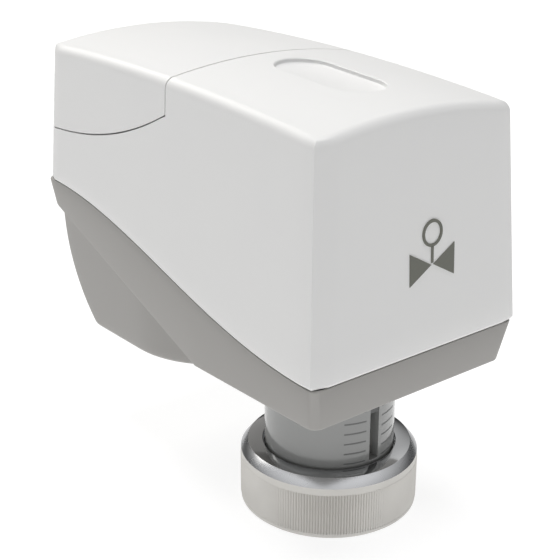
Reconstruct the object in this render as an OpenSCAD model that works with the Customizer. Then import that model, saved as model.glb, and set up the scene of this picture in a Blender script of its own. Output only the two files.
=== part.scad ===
// Motorised valve actuator head: a drafted two-part plastic housing on a round
// guide column, with a knurled union nut that screws it to a valve neck.
// Millimetres. +Z is up, the front faces -Y, and the origin is the centre of
// the union nut's mouth, on the stem axis.

/* [Housing] */
// Width of the cover at its lower edge
housing_w = 52; // [50:0.5:64]
// Distance from the stem axis to the front face, at the cover's lower edge
front_y = 24.7; // [24:0.1:34]
// Distance from the stem axis to the rear face, taken down to the front edge's level
rear_y = 67; // [65:0.5:80]
// Height of the roof's ridge above the nut's mouth
roof_z = 88.5; // [86:0.5:107]
// Draft of the moulded side walls, in degrees
draft = 2.8; // [0.5:0.1:3]
// Thickness of the cover's walls
cover_wall = 2; // [1.4:0.1:2.4]
// Thickness of the base's walls and floor
base_wall = 2.2; // [1.6:0.1:2.6]
// Radius of the upright corners
corner_r = 2; // [1.5:0.5:4]
// Radius of the rounded edge round the roof
roof_edge_r = 2.2; // [1.6:0.2:4]
// Radius of the roof's crown across its width
crown_r = 122; // [90:1:400]
// Radius of the roof's crown along its length
crown_long_r = 573; // [300:1:2000]
// Distance from the stem axis to the roof's highest point
crown_y = 46; // [20:1:60]

/* [Parting lines] */
// Height of the cover's lower edge at the front
part_front_z = 40; // [39:0.2:43]
// Height of the cover's lower edge at the rear
part_rear_z = 57.4; // [56:0.2:60]
// Height of the underside of the base
under_z = 31.4; // [31:0.1:33]
// Where the underside starts to climb towards the rear
climb_y = 12; // [8:1:18]
// Rise of the underside for each millimetre to the rear
climb = 0.385; // [0.3:0.005:0.42]
// Front edge of the terminal lid
lid_y = 20.4; // [18:0.2:26]
// Height of the lid's lower corner at its front edge
lid_front_z = 79.2; // [78:0.2:82]
// Height of the lid's lower edge at the rear
lid_rear_z = 69.2; // [68.6:0.2:72]
// Gap round the lid
lid_gap = 0.3; // [0.2:0.05:0.5]

/* [Recess in the roof] */
// Length of the recess
recess_l = 25.1; // [20:0.1:30]
// Width of the recess
recess_w = 11.6; // [8:0.2:18]
// Depth of the recess
recess_depth = 0.9; // [0.5:0.1:1.2]

/* [Motor pot] */
// Half width of the pot at its underside
pot_half_w = 20.8; // [19:0.1:21.2]
// Height of the pot's underside
pot_z = 24.6; // [22:0.2:26]
// Distance from the stem axis to the motor axis
motor_y = 36.2; // [34:0.2:36.6]
// Radius of the motor
motor_r = 16.5; // [13.5:0.1:16.8]
// Height of the motor
motor_h = 19; // [15:0.5:19.5]

/* [Column and nut] */
// Outer radius of the guide column
column_r = 13.1; // [10.9:0.1:13.2]
// Radius of the column's bore
column_bore_r = 9; // [7.5:0.1:9.2]
// Height of the column's seating face above the nut's mouth
seat_z = 8.4; // [7:0.2:9]
// Outer radius of the union nut
nut_r = 18; // [17:0.25:21]
// Height of the union nut
nut_h = 12.9; // [12.5:0.1:13.4]
// Radius of the bore of the M30 x 1.5 thread, at its crests
thread_r = 14.19; // [14.19:0.01:14.4]
// Number of ridges in the nut's knurl
knurl_n = 200; // [60:10:220]
// Height of the ridges
knurl_depth = 0.3; // [0.15:0.05:0.5]
// Width of the indicator slot in the column
slot_w = 2.3; // [1.8:0.1:3]
// Distance between two marks of the scale
scale_step = 2.14; // [2:0.01:2.5]

/* [Gears] */
// Module of the motor pinion and the first wheel
module_a = 0.4; // [0.36:0.01:0.42]
// Module of the first pinion and the second wheel
module_b = 0.5; // [0.42:0.01:0.52]
// Module of the second pinion and the spindle gear
module_c = 0.7; // [0.62:0.01:0.74]
// Teeth of the motor pinion
pinion_a_teeth = 10; // [10:1:12]
// Teeth of the first wheel
wheel_a_teeth = 60; // [48:1:62]
// Teeth of the first pinion
pinion_b_teeth = 10; // [10:1:12]
// Teeth of the second wheel
wheel_b_teeth = 48; // [40:1:48]
// Teeth of the second pinion
pinion_c_teeth = 12; // [11:1:14]
// Teeth of the spindle gear
wheel_c_teeth = 42; // [34:1:42]
// Direction of the second gear's axle from the stem axis, in degrees
gear_2_angle = 115; // [110:1:120]
// Radius of the two gear axles
axle_r = 1; // [0.8:0.05:1.2]

/* [Drive spindle] */
// Outer radius of the spindle's thread
spindle_r = 4; // [3.3:0.1:4.8]
// Full travel of the spindle
stroke = 9; // [6:0.5:10]

/* [Electrics] */
// Thickness of the circuit board
board_t = 1.6; // [1:0.2:2]
// Number of poles in the terminal block
poles = 4; // [3:1:4]
// Distance between two poles
pole_step = 5; // [5:0.08:5.08]
// Radius of the mains cable that the grommet takes
cable_r = 2.9; // [2.5:0.1:3.2]

/* [Hidden] */

eps = 0.01;          // overlap that makes two shapes of one solid fuse or cut cleanly
round_fn = 96;       // full circles
soft_fn = 24;        // rounding inside hulls

// running and assembly clearances
run_gap = 0.06;
fit_gap = 0.15;

// ---- the housing's outline ----
half_w = housing_w / 2;
slope = tan(draft);
skirt_front = 2.2;   // how far the base's lower edge lies inside the cover's outline, at the front
skirt_rear = 1.4;    // the same at the rear
rim_step = 0.3;      // the base's rim lies this far inside the cover's edge
arc_step = 15;
side_steps = 22;

function part_share(y) = min(1, max(0, (y + front_y) / (front_y + rear_y)));
function part_z(y) = part_front_z + (part_rear_z - part_front_z) * (1 - cos(180 * part_share(y))) / 2;
function under(y) = under_z + climb * max(0, y - climb_y);
function skirt(y) = skirt_front + (skirt_rear - skirt_front) * part_share(y);
function roof(x, y) = roof_z - x * x / (2 * crown_r) - pow(y - crown_y, 2) / (2 * crown_long_r);

// stations along the right-hand half of the outline: [inset from the side, y]
stations = concat(
    [for (a = [0 : arc_step : 90]) [corner_r * (1 - sin(a)), -front_y + corner_r * (1 - cos(a))]],
    [for (k = [1 : side_steps - 1])
        [0, -front_y + corner_r + (front_y + rear_y - 2 * corner_r) * k / side_steps]],
    [for (a = [90 : -arc_step : 0]) [corner_r * (1 - sin(a)), rear_y - corner_r * (1 - cos(a))]]);

// a half ring of points at inset d(y) and height z(y), drafted with its height
function ring(d, z) = [for (s = stations)
    let (e = d(s[1]) + slope * (z(s[1]) - part_front_z))
    [half_w - e - s[0], s[1] + e * (1 - 2 * part_share(s[1])), z(s[1])]];

function wall_y_front(z) = -front_y + slope * (z - part_front_z);
function wall_y_rear(z) = rear_y - slope * (z - part_front_z);
function wall_x(z) = half_w - slope * (z - part_front_z);

// a closed skin over half rings from the lowest to the highest, mirrored at x = 0
module loft(rings) {
    n = len(stations);
    m = len(rings);
    function right(i, j) = 2 * n * j + i;
    function left(i, j) = 2 * n * j + n + i;
    points = [for (r = rings) each concat(r, [for (p = r) [-p[0], p[1], p[2]]])];
    function quad(a, b, c, d) = [[a, b, c], [a, c, d]];
    faces = concat(
        [for (j = [0 : m - 2], i = [0 : n - 2])
            each quad(right(i, j), right(i, j + 1), right(i + 1, j + 1), right(i + 1, j))],
        [for (j = [0 : m - 2], i = [0 : n - 2])
            each quad(left(i, j), left(i + 1, j), left(i + 1, j + 1), left(i, j + 1))],
        [for (j = [0 : m - 2]) each quad(left(0, j), left(0, j + 1), right(0, j + 1), right(0, j))],
        [for (j = [0 : m - 2])
            each quad(right(n - 1, j), right(n - 1, j + 1), left(n - 1, j + 1), left(n - 1, j))],
        [for (i = [0 : n - 2]) each quad(right(i, 0), right(i + 1, 0), left(i + 1, 0), left(i, 0))],
        [for (i = [0 : n - 2])
            each quad(right(i, m - 1), left(i, m - 1), left(i + 1, m - 1), right(i + 1, m - 1))]);
    polyhedron(points, faces);
}

// a level outline of the housing at height z, inset by d, as a thin slab
module outline_slab(z, d) {
    half = ring(function(y) d, function(y) z);
    outline = concat([for (p = half) [p[0], p[1]]],
                     [for (k = [len(half) - 1 : -1 : 0]) [-half[k][0], half[k][1]]]);
    translate([0, 0, z]) linear_extrude(eps) polygon(outline);
}

wall_foot_z = part_front_z - 3;
wall_head_z = roof_z - 3 * roof_edge_r;
least_ball = 0.2;    // smallest rounding of an inner edge

// the whole moulded body above the parting line, inset by d
module envelope(d) {
    ball = max(roof_edge_r - d, least_ball);
    head_x = wall_x(roof_z) - d - ball;
    head_y0 = wall_y_front(roof_z) + d + ball;
    head_y1 = wall_y_rear(roof_z) - d - ball;
    hull() {
        outline_slab(wall_foot_z, d);
        outline_slab(wall_head_z, d);
        for (u = [0 : 0.25 : 1], v = [-1 : 0.25 : 1]) {
            x = v * head_x;
            y = head_y0 + (head_y1 - head_y0) * u;
            translate([x, y, roof(x, y) - d - ball]) sphere(ball, $fn = soft_fn);
        }
    }
}

// a side view, given as [y, z] points, drawn right across the housing
module across(points, w = 2 * housing_w) {
    rotate([90, 0, 90]) translate([0, 0, -w / 2]) linear_extrude(w) polygon(points);
}

far = 2 * (front_y + rear_y);
curve_n = 24;

// everything above the cover's lower edge, raised by lift
module above_parting(lift = 0) {
    y0 = -front_y - 5;
    y1 = rear_y + 5;
    across(concat([[y0, far], [y0, part_z(y0) + lift]],
                  [for (k = [0 : curve_n]) let (y = -front_y + (front_y + rear_y) * k / curve_n)
                      [y, part_z(y) + lift]],
                  [[y1, part_z(y1) + lift], [y1, far]]));
}

// the side view of the lid, with its edges moved out by g
function lid_edge_z(y) = let (t = (rear_y - y) / (rear_y - lid_y))
    lid_rear_z + (lid_front_z - lid_rear_z) * pow(max(0, t), 2.4);
module lid_side(g) {
    y1 = rear_y + 5;
    across(concat([[lid_y - g, far], [lid_y - g, lid_edge_z(lid_y) - g]],
                  [for (k = [1 : curve_n]) let (y = lid_y + (rear_y - lid_y) * k / curve_n)
                      [y, lid_edge_z(y) - g]],
                  [[y1, lid_rear_z - g], [y1, far]]));
}

// ---- fixing points, shared by every piece that meets them ----
screw_r = 1.5;
small_screw_r = 1;
floor_z = under_z + base_wall;
plate_z = 47;
plate_t = 1.5;
plate_half_w = 19.2;
plate_front_y = 3.4 - front_y;
plate_rear_y = rear_y - 6.6;
plate_top = plate_z + plate_t;
upper_z = 68;
upper_top = upper_z + plate_t;
upper_front_y = 9 - front_y;
upper_rear_y = motor_y + 8.8;
plate_bosses = [for (s = [-1, 1]) each [[s * 15.6, plate_front_y + 3], [s * 14.8, plate_rear_y - 3]]];
pillars = [for (s = [-1, 1]) each [[s * 17, upper_front_y + 3.4], [s * 16.9, upper_rear_y - 3]]];
cover_posts = [for (s = [-1, 1]) [s * (half_w - 6.4), climb_y]];
post_r = 2.7;
post_h = 6.5;
boss_r = 3;
head_h = 1.5;
head_r = 2.6;
board_z = upper_top + 4;
board_top = board_z + board_t;
board_half_w = 17.5;
board_front_y = upper_front_y + 1.5;
board_rear_y = motor_y + 12.8;
board_fixings = [for (x = [-14.5, 14.5], y = [-3, motor_y - 2.2]) [x, y]];
flange_r = column_r + 5.3;
flange_t = 3;
pad_h = 3;
pad_top = floor_z + pad_h;
column_screw_pcr = column_r + 2.8;
grommet_z = (part_rear_z + lid_rear_z) / 2;
grommet_hole_r = cable_r + 1.1;
grommet_flange_r = grommet_hole_r + 0.9;
lid_screw_z = lid_rear_z + 7.5;
lid_screw_x = 14;
lid_post_w = 7;
lead_points = [[-8, motor_y + 11.8], [-10.6, motor_y + 11.8]];
lead_r = 0.7;
motor_top = plate_z;
motor_foot = motor_top - motor_h;
motor_screws_at = [for (s = [-1, 1]) [s * 12.5, motor_y + 1.8]];

// ---- general pieces ----
module tube(r, bore, h) {
    difference() {
        cylinder(r = r, h = h, $fn = round_fn);
        translate([0, 0, -1]) cylinder(r = bore, h = h + 2, $fn = round_fn);
    }
}

module pin(p, r, z0, z1) {
    translate([p[0], p[1], z0]) cylinder(r = r, h = z1 - z0, $fn = 48);
}

// a pan head screw that points down from z = 0, with a cross recess
module pan_screw(l, r = screw_r, hr = head_r, hh = head_h) {
    difference() {
        union() {
            cylinder(r = hr, h = hh, $fn = 48);
            translate([0, 0, -l]) cylinder(r = r, h = l + eps, $fn = 48);
        }
        for (a = [0, 90]) rotate(a)
            translate([-hr * 0.55, -0.3, hh * 0.45]) cube([hr * 1.1, 0.6, hh]);
    }
}

module obround(l, w) {
    for (s = [-1, 1]) translate([0, s * (l - w) / 2]) circle(r = w / 2, $fn = 64);
    translate([-w / 2, -(l - w) / 2]) square([w, l - w]);
}

// ---- housing ----
pot_head_z = under(rear_y) + base_wall + 1;
pot_rear_y = rear_y - 2.8;
pot_tail_z = 47;
pot_tail_r = 31.5;
pot_nose_y = motor_y + 1.2;

// the pot's D-shaped plan, inset by d
module pot_plan(d) {
    translate([0, pot_nose_y]) circle(r = pot_half_w - d, $fn = 64);
    translate([-pot_half_w + d, pot_nose_y]) square([2 * (pot_half_w - d), rear_y - pot_nose_y]);
}

// the pot that holds the motor, with its round tail, inset by d
module pot(d) {
    grow = (pot_head_z - pot_z) * slope * 1.3;
    intersection() {
        hull() {
            translate([0, 0, pot_z + d]) linear_extrude(eps) pot_plan(d);
            translate([0, 0, pot_head_z]) linear_extrude(eps) pot_plan(d - grow);
        }
        across(concat([[0, 0], [0, pot_head_z + 5], [pot_rear_y - d, pot_head_z + 5]],
                      [for (a = [0 : 5 : 50])
                          [pot_rear_y - pot_tail_r + (pot_tail_r - d) * cos(a),
                           pot_tail_z - (pot_tail_r - d) * sin(a)]]));
    }
}

// the outside of the base, as one block
module base_block() {
    loft([ring(function(y) skirt(y), function(y) under(y)),
          ring(function(y) rim_step, function(y) part_z(y))]);
    difference() {
        pot(0);
        above_parting(-1);
    }
}

lip_h = 1.6;
lip_t = 1.05;
lip_d = cover_wall + fit_gap;

module base_housing() color([0.60, 0.59, 0.57]) {
    difference() {
        union() {
            difference() {
                base_block();
                loft([ring(function(y) skirt(y) + base_wall + 0.2, function(y) under(y) + base_wall),
                      ring(function(y) lip_d + lip_t, function(y) part_z(y) + 2)]);
                pot(base_wall);
            }
            // lip that locates the cover
            difference() {
                loft([ring(function(y) lip_d, function(y) part_z(y) - 0.8),
                      ring(function(y) lip_d, function(y) part_z(y) + lip_h)]);
                loft([ring(function(y) lip_d + lip_t, function(y) part_z(y) - 2),
                      ring(function(y) lip_d + lip_t, function(y) part_z(y) + lip_h + 1)]);
            }
            intersection() {
                base_block();
                union() {
                    for (p = plate_bosses) pin(p, boss_r, pot_z + 1, plate_z);
                    for (p = cover_posts) pin(p, post_r, under_z, part_z(p[1]) - 1.5);
                }
            }
            // front bosses that stand above the parting line
            for (p = plate_bosses) if (part_z(p[1]) < plate_z) pin(p, boss_r, part_z(p[1]) - 2, plate_z);
            // pad under the column's flange
            translate([0, 0, floor_z - eps]) cylinder(r = flange_r + 0.4, h = pad_h + eps, $fn = round_fn);
        }
        for (p = plate_bosses) pin(p, screw_r, plate_z - 7.5, plate_z + 1);
        for (p = cover_posts) {
            pin(p, screw_r + fit_gap, under_z - 1, plate_z);
            pin(p, head_r + fit_gap, under_z - 3, under_z + head_h + 0.4);
        }
        pin([0, 0], column_r + run_gap, under_z - 1, pad_top + 1);
        for (a = [45 : 90 : 315]) rotate(a) pin([column_screw_pcr, 0], screw_r, pad_top - 2.8, pad_top + 1);
        grommet_way(grommet_flange_r + 0.3, rear_y - lip_d - 3);
    }
}

// a round way through the rear wall at the grommet, from y outwards
module grommet_way(r, y) {
    translate([0, y, grommet_z]) rotate([-90, 0, 0]) cylinder(r = r, h = rear_y - y + 5, $fn = 48);
}

seal_out = 0.8;
seal_h = 0.7;

module housing_seal() color([0.12, 0.12, 0.12]) difference() {
    loft([ring(function(y) seal_out, function(y) part_z(y)),
          ring(function(y) seal_out, function(y) part_z(y) + seal_h)]);
    loft([ring(function(y) cover_wall, function(y) part_z(y) - 1),
          ring(function(y) cover_wall, function(y) part_z(y) + seal_h + 1)]);
}

tongue_gap = 0.3;
tongue_t = 1.2;
tongue_h = 1.6;

module main_cover() color([0.93, 0.93, 0.92]) {
    difference() {
        union() {
            difference() {
                union() {
                    difference() {
                        envelope(0);
                        envelope(cover_wall);
                        lid_side(lid_gap);
                    }
                    tongue();
                }
                // everything below the cover's lower edge, and the seal's groove
                difference() {
                    translate([-housing_w, -front_y - 20, 0]) cube([2 * housing_w, far, part_rear_z + 1]);
                    above_parting(0.2);
                }
                loft([ring(function(y) seal_out - 0.1, function(y) part_z(y) - 1),
                      ring(function(y) seal_out - 0.1, function(y) part_z(y) + seal_h + 0.1)]);
            }
            // side posts that the cover screws hold, each with a rib to the wall
            for (p = cover_posts) {
                pin(p, post_r, part_z(p[1]) - 1.3, part_z(p[1]) + post_h);
                mirror([p[0] < 0 ? 1 : 0, 0, 0])
                    translate([abs(p[0]), p[1] - 1, part_z(p[1]) + lip_h + 0.8])
                        cube([half_w - cover_wall / 2 - 0.6 - abs(p[0]), 2, post_h - lip_h - 0.8]);
            }
            // posts behind the rear wall for the lid's screws
            for (x = [-lid_screw_x, lid_screw_x]) translate([x - lid_post_w / 2, lid_post_y, lid_rear_z - 6]) {
                cube([lid_post_w, lid_post_t, lid_screw_z + 3.5 - lid_rear_z + 6]);
                cube([lid_post_w, wall_y_rear(lid_rear_z) - cover_wall / 2 - lid_post_y, 5]);
            }
        }
        for (p = cover_posts) pin(p, screw_r, part_z(p[1]) - 2, part_z(p[1]) + post_h - 1);
        difference() {
            translate([0, recess_y, roof_z - 10]) linear_extrude(20) obround(recess_l, recess_w);
            envelope(recess_depth);
        }
        grommet_way(grommet_hole_r, rear_y - 10);
        intersection() {
            grommet_way(grommet_flange_r + 0.2, rear_y - 10);
            translate([-10, 0, 0]) cube([20, wall_y_rear(grommet_z) - cover_wall - 0.3, roof_z]);
        }
        for (x = [-lid_screw_x, lid_screw_x]) translate([x, lid_post_y - 1, lid_screw_z]) rotate([-90, 0, 0])
            cylinder(r = screw_r, h = 8, $fn = 48);
    }
}

// the tongue that stands behind the lid's edge
module tongue() difference() {
    intersection() {
        envelope(cover_wall - 0.02);
        difference() {
            lid_side(2.4);
            lid_side(-tongue_h);
        }
    }
    envelope(cover_wall + tongue_gap + tongue_t);
    difference() {
        lid_side(lid_gap);
        envelope(cover_wall + tongue_gap);
    }
}

recess_y = 1.85;
lid_post_t = 3.6;
lid_post_y = wall_y_rear(lid_screw_z) - cover_wall - 0.5 - lid_post_t;
lid_face_y = wall_y_rear(lid_screw_z + 3) - 0.9;

module terminal_lid() color([0.93, 0.93, 0.92]) difference() {
    intersection() {
        envelope(0);
        lid_side(0);
    }
    envelope(cover_wall);
    for (x = [-lid_screw_x, lid_screw_x]) translate([x, 0, lid_screw_z]) rotate([-90, 0, 0]) {
        cylinder(r = screw_r + fit_gap, h = rear_y + 10, $fn = 48);
        translate([0, 0, lid_face_y]) cylinder(r = head_r + fit_gap, h = 10, $fn = 48);
    }
}

module lid_screws() color([0.75, 0.75, 0.76])
    for (x = [-lid_screw_x, lid_screw_x]) translate([x, lid_face_y, lid_screw_z]) rotate([-90, 0, 0])
        pan_screw(lid_face_y - lid_post_y - 0.4);

module cover_screws() color([0.75, 0.75, 0.76])
    for (p = cover_posts) translate([p[0], p[1], under_z + head_h + 0.4]) rotate([180, 0, 0])
        pan_screw(part_z(p[1]) + post_h - 2 - under_z - head_h - 0.4);

// ---- column and nut ----
column_top = pad_top + flange_t;
groove_z = seat_z + 1.2;
groove_r = column_r - 0.8;
nut_lip_z = 11.2;
slot_top = under_z - 0.6;
mark_count = 9;
mark_z = 13.75;
mark_h = 0.3;
mark_from = 9;
mark_turn = 20.3;

module guide_column() color([0.69, 0.69, 0.68]) difference() {
    union() {
        pin([0, 0], column_r, seat_z, pad_top + eps);
        pin([0, 0], flange_r, pad_top, column_top);
    }
    pin([0, 0], column_bore_r, seat_z - 1, column_top + 1);
    translate([0, 0, groove_z]) tube(column_r + 1, groove_r, 1.2);
    // slot for the pointer
    translate([-slot_w / 2, -column_r - 1, slot_z]) cube([slot_w, column_r, slot_top - slot_z]);
    for (a = [45 : 90 : 315]) rotate(a) pin([column_screw_pcr, 0], screw_r + fit_gap, pad_top - 1, column_top + 1);
    // scale on both sides of the slot
    for (k = [0 : mark_count - 1], s = [-90 - mark_from - mark_turn, -90 + mark_from])
        translate([0, 0, mark_z - mark_h / 2 + k * scale_step]) rotate(s)
            rotate_extrude(angle = mark_turn, $fn = round_fn)
                translate([column_r - 0.15, 0]) square([1, mark_h]);
}

module column_screws() color([0.75, 0.75, 0.76])
    for (a = [45 : 90 : 315]) rotate(a) translate([column_screw_pcr, 0, column_top])
        pan_screw(flange_t + 2.4, hr = 2.4);

module nut_ring() color([0.6, 0.6, 0.62]) difference() {
    translate([0, 0, groove_z + 0.1]) tube(thread_r - 0.4, groove_r, 1);
    translate([0, -1, 0]) cube([40, 2, 40]);
}

module union_nut() color([0.76, 0.75, 0.72]) {
    bore = column_r + 0.35;
    edge = nut_r - 0.1;
    core = nut_r - knurl_depth - 0.15;
    rotate_extrude($fn = round_fn) polygon([
        [thread_r, 0], [nut_r - 0.7, 0], [edge, 0.5], [edge, 0.9], [core, 1.2], [core, nut_h - 3.5],
        [edge, nut_h - 3.2], [edge, nut_h - 1.6], [nut_r - 1.4, nut_h], [bore, nut_h], [bore, nut_lip_z],
        [thread_r + 0.4, nut_lip_z], [thread_r + 0.4, seat_z], [thread_r, seat_z - 0.2]]);
    difference() {
        translate([0, 0, 1.05]) linear_extrude(nut_h - 4.4) polygon(
            [for (k = [0 : 2 * knurl_n - 1]) let (r = nut_r - (k % 2) * knurl_depth, a = 180 * k / knurl_n)
                [r * cos(a), r * sin(a)]]);
        pin([0, 0], core - 0.4, 0, nut_h);
    }
}

// ---- the spindle and what moves with it ----
cap_z = 22.6;
cap_h = 8;
cap_floor = 2.5;
thread_hold = 15;      // length of thread that stays in the drive nut at full travel
pointer_z = cap_z + 1;
pointer_h = 5.6;
pointer_w = slot_w - 0.2;
pointer_hold = 2.6;    // how far the pointer reaches into the cap
slot_z = pointer_z - stroke - 1.1;

module drive_spindle() color([0.72, 0.72, 0.74]) {
    pin([0, 0], spindle_r, cap_z + cap_floor, nut_foot + thread_hold + stroke);
}

module push_cap() color([0.25, 0.25, 0.26]) difference() {
    pin([0, 0], column_bore_r - run_gap, cap_z, cap_z + cap_h);
    pin([0, 0], spindle_r, cap_z + cap_floor, cap_z + cap_h + 1);
    translate([-pointer_w / 2, -column_bore_r - 1, pointer_z]) cube([pointer_w, pointer_hold + 1, pointer_h]);
}

module position_pointer() color([0.15, 0.15, 0.16])
    translate([-pointer_w / 2, -column_r + 0.2, pointer_z])
        cube([pointer_w, column_r - 0.2 - column_bore_r + pointer_hold, pointer_h]);

nut_body_r = spindle_r + 1.8;
nut_foot = plate_z - 1;
gear_c_z = 60.4;
gear_c_h = 4.2;
hub_top = 65.4;
race_t = 0.6;
ball_r = 0.65;
race_r = [spindle_r + 0.6, spindle_r + 4.2];

module drive_nut() color([0.78, 0.65, 0.35]) difference() {
    union() {
        pin([0, 0], nut_body_r, nut_foot, hub_top);
        pin([0, 0], nut_body_r + 1.4, plate_top + 1.3, plate_top + 3.3);
    }
    pin([0, 0], spindle_r + run_gap, nut_foot - 1, hub_top + 1);
}

module spindle_bush() color([0.70, 0.55, 0.30]) {
    translate([0, 0, plate_z - 1]) tube(nut_body_r + 1.4, nut_body_r + run_gap, plate_t + 1 + eps);
    translate([0, 0, plate_top]) tube(nut_body_r + 2.7, nut_body_r + run_gap, 1);
}

module spindle_gear() color([0.92, 0.90, 0.84]) difference() {
    union() {
        translate([0, 0, gear_c_z]) spur(module_c, wheel_c_teeth, gear_c_h, 0);
        pin([0, 0], nut_body_r + 2.4, gear_c_z - 0.6, hub_top);
    }
    pin([0, 0], nut_body_r, gear_c_z - 2, hub_top + 1);
}

module lower_race() color([0.70, 0.70, 0.72]) translate([0, 0, hub_top]) tube(race_r[1], race_r[0], race_t);

module upper_race() color([0.70, 0.70, 0.72])
    translate([0, 0, upper_z - race_t]) tube(race_r[1], race_r[0], race_t);

module thrust_balls() color([0.80, 0.80, 0.82])
    for (a = [0 : 30 : 330]) rotate(a)
        translate([(race_r[0] + race_r[1]) / 2, 0, hub_top + race_t + ball_r]) sphere(ball_r, $fn = 24);

// ---- gears ----
pressure = 25;
backlash = 0.14;
flank_n = 3;

function inv(a) = tan(a) * 180 / PI - a;
// angle between a tooth's centre line and its flank at radius r
function flank_angle(m, n, r) = let (rp = m * n / 2, rb = rp * cos(pressure))
    90 / n - backlash * 90 / (PI * rp) + inv(pressure) - inv(acos(min(1, rb / r)));

module spur(m, n, h, turn) {
    tip = m * (n / 2 + 0.85);
    root = m * (n / 2 - 1.15);
    low = max(m * n / 2 * cos(pressure), root);
    rs = [for (k = [0 : flank_n]) low + (tip - low) * k / flank_n];
    points = [for (t = [0 : n - 1]) let (c = turn + 360 * t / n) each concat(
        [let (a = c - flank_angle(m, n, low) - 4 / n) [root * cos(a), root * sin(a)]],
        [for (k = [0 : flank_n]) let (a = c - flank_angle(m, n, rs[k])) [rs[k] * cos(a), rs[k] * sin(a)]],
        [for (k = [flank_n : -1 : 0]) let (a = c + flank_angle(m, n, rs[k])) [rs[k] * cos(a), rs[k] * sin(a)]],
        [let (a = c + flank_angle(m, n, low) + 4 / n) [root * cos(a), root * sin(a)]])];
    linear_extrude(h) polygon(points);
}

// where each axle stands
dist_a = module_a * (pinion_a_teeth + wheel_a_teeth) / 2;
dist_b = module_b * (pinion_b_teeth + wheel_b_teeth) / 2;
dist_c = module_c * (pinion_c_teeth + wheel_c_teeth) / 2;
motor_at = [0, motor_y];
gear_2_at = dist_c * [cos(gear_2_angle), sin(gear_2_angle)];
span = norm(gear_2_at - motor_at);
along = (pow(dist_a, 2) - pow(dist_b, 2) + pow(span, 2)) / (2 * span);
aside = sqrt(pow(dist_a, 2) - pow(along, 2));
line = (gear_2_at - motor_at) / span;
gear_1_at = motor_at + along * line + aside * [-line[1], line[0]];

function heading(from, to) = atan2(to[1] - from[1], to[0] - from[0]);
// the turn that meshes a gear of nb teeth with one of na teeth that stands at turn ta
function mesh_turn(h, ta, na, nb) = h + 180 - 180 / nb + (h - ta) * na / nb;
turn_c = mesh_turn(heading([0, 0], gear_2_at), 0, wheel_c_teeth, pinion_c_teeth);
turn_b = mesh_turn(heading(gear_2_at, gear_1_at), 0, wheel_b_teeth, pinion_b_teeth);
turn_a = mesh_turn(heading(gear_1_at, motor_at), 0, wheel_a_teeth, pinion_a_teeth);

gear_a_z = 50.2;
gear_b_z = 55.4;
face_w = 2.8;
hub_foot = plate_top + 0.3;
hub_head = upper_z - 0.3;
axle_gap = 0.05;

module gear_1() color([0.92, 0.90, 0.84]) translate([gear_1_at[0], gear_1_at[1], 0]) difference() {
    union() {
        translate([0, 0, gear_a_z]) spur(module_a, wheel_a_teeth, face_w, 0);
        translate([0, 0, gear_a_z + face_w - eps])
            spur(module_b, pinion_b_teeth, gear_b_z + face_w + 0.4 - gear_a_z - face_w, turn_b);
        pin([0, 0], axle_r + 1.2, hub_foot, gear_a_z + eps);
        pin([0, 0], axle_r + 0.75, gear_b_z + face_w, hub_head);
    }
    pin([0, 0], axle_r + axle_gap, hub_foot - 1, hub_head + 1);
}

module gear_2() color([0.92, 0.90, 0.84]) translate([gear_2_at[0], gear_2_at[1], 0]) difference() {
    union() {
        translate([0, 0, gear_b_z]) spur(module_b, wheel_b_teeth, face_w, 0);
        translate([0, 0, gear_b_z + face_w - eps])
            spur(module_c, pinion_c_teeth, hub_top - gear_b_z - face_w, turn_c);
        pin([0, 0], axle_r + 0.65, hub_foot, gear_b_z + eps);
        pin([0, 0], axle_r + 1.4, hub_top - 0.2, hub_head);
    }
    pin([0, 0], axle_r + axle_gap, hub_foot - 1, hub_head + 1);
}

module gear_1_axle() color([0.72, 0.72, 0.74]) pin(gear_1_at, axle_r, plate_z, upper_top);
module gear_2_axle() color([0.72, 0.72, 0.74]) pin(gear_2_at, axle_r, plate_z, upper_top);

// ---- plates ----
module plate(z, y0, y1) {
    translate([-plate_half_w, y0, z]) cube([2 * plate_half_w, y1 - y0, plate_t]);
}

module lower_plate() color([0.70, 0.71, 0.72]) difference() {
    plate(plate_z, plate_front_y, plate_rear_y);
    pin([0, 0], nut_body_r + 1.4, plate_z - 1, plate_top + 1);
    pin(motor_at, shaft_bush_r + 0.4, plate_z - 1, plate_top + 1);
    for (p = plate_bosses) pin(p, screw_r + fit_gap, plate_z - 1, plate_top + 1);
    for (p = pillars) pin(p, screw_r, plate_z - 1, plate_top + 1);
    for (p = motor_screws_at) pin(p, small_screw_r + fit_gap, plate_z - 1, plate_top + 1);
    for (p = [gear_1_at, gear_2_at]) pin(p, axle_r, plate_z - 1, plate_top + 1);
    for (p = cover_posts) pin(p, post_r + 0.6, plate_z - 1, plate_top + 1);
    for (p = lead_points) pin(p, lead_r + 0.4, plate_z - 1, plate_top + 1);
}

module upper_plate() color([0.70, 0.71, 0.72]) difference() {
    plate(upper_z, upper_front_y, upper_rear_y);
    pin([0, 0], spindle_r + 0.5, upper_z - 1, upper_top + 1);
    for (p = pillars) pin(p, screw_r + fit_gap, upper_z - 1, upper_top + 1);
    for (p = [gear_1_at, gear_2_at]) pin(p, axle_r, upper_z - 1, upper_top + 1);
    for (p = board_fixings) pin(p, small_screw_r, upper_z - 1, upper_top + 1);
}

module plate_pillars() color([0.72, 0.72, 0.74]) for (p = pillars) difference() {
    union() {
        pin(p, boss_r - 0.4, plate_top, upper_z);
        pin(p, screw_r, plate_z, plate_top + eps);
    }
    pin(p, screw_r - 0.3, upper_z - 6, upper_z + 1);
}

module plate_screws() color([0.75, 0.75, 0.76])
    for (p = plate_bosses) translate([p[0], p[1], plate_top]) pan_screw(plate_t + 6.5);

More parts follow.
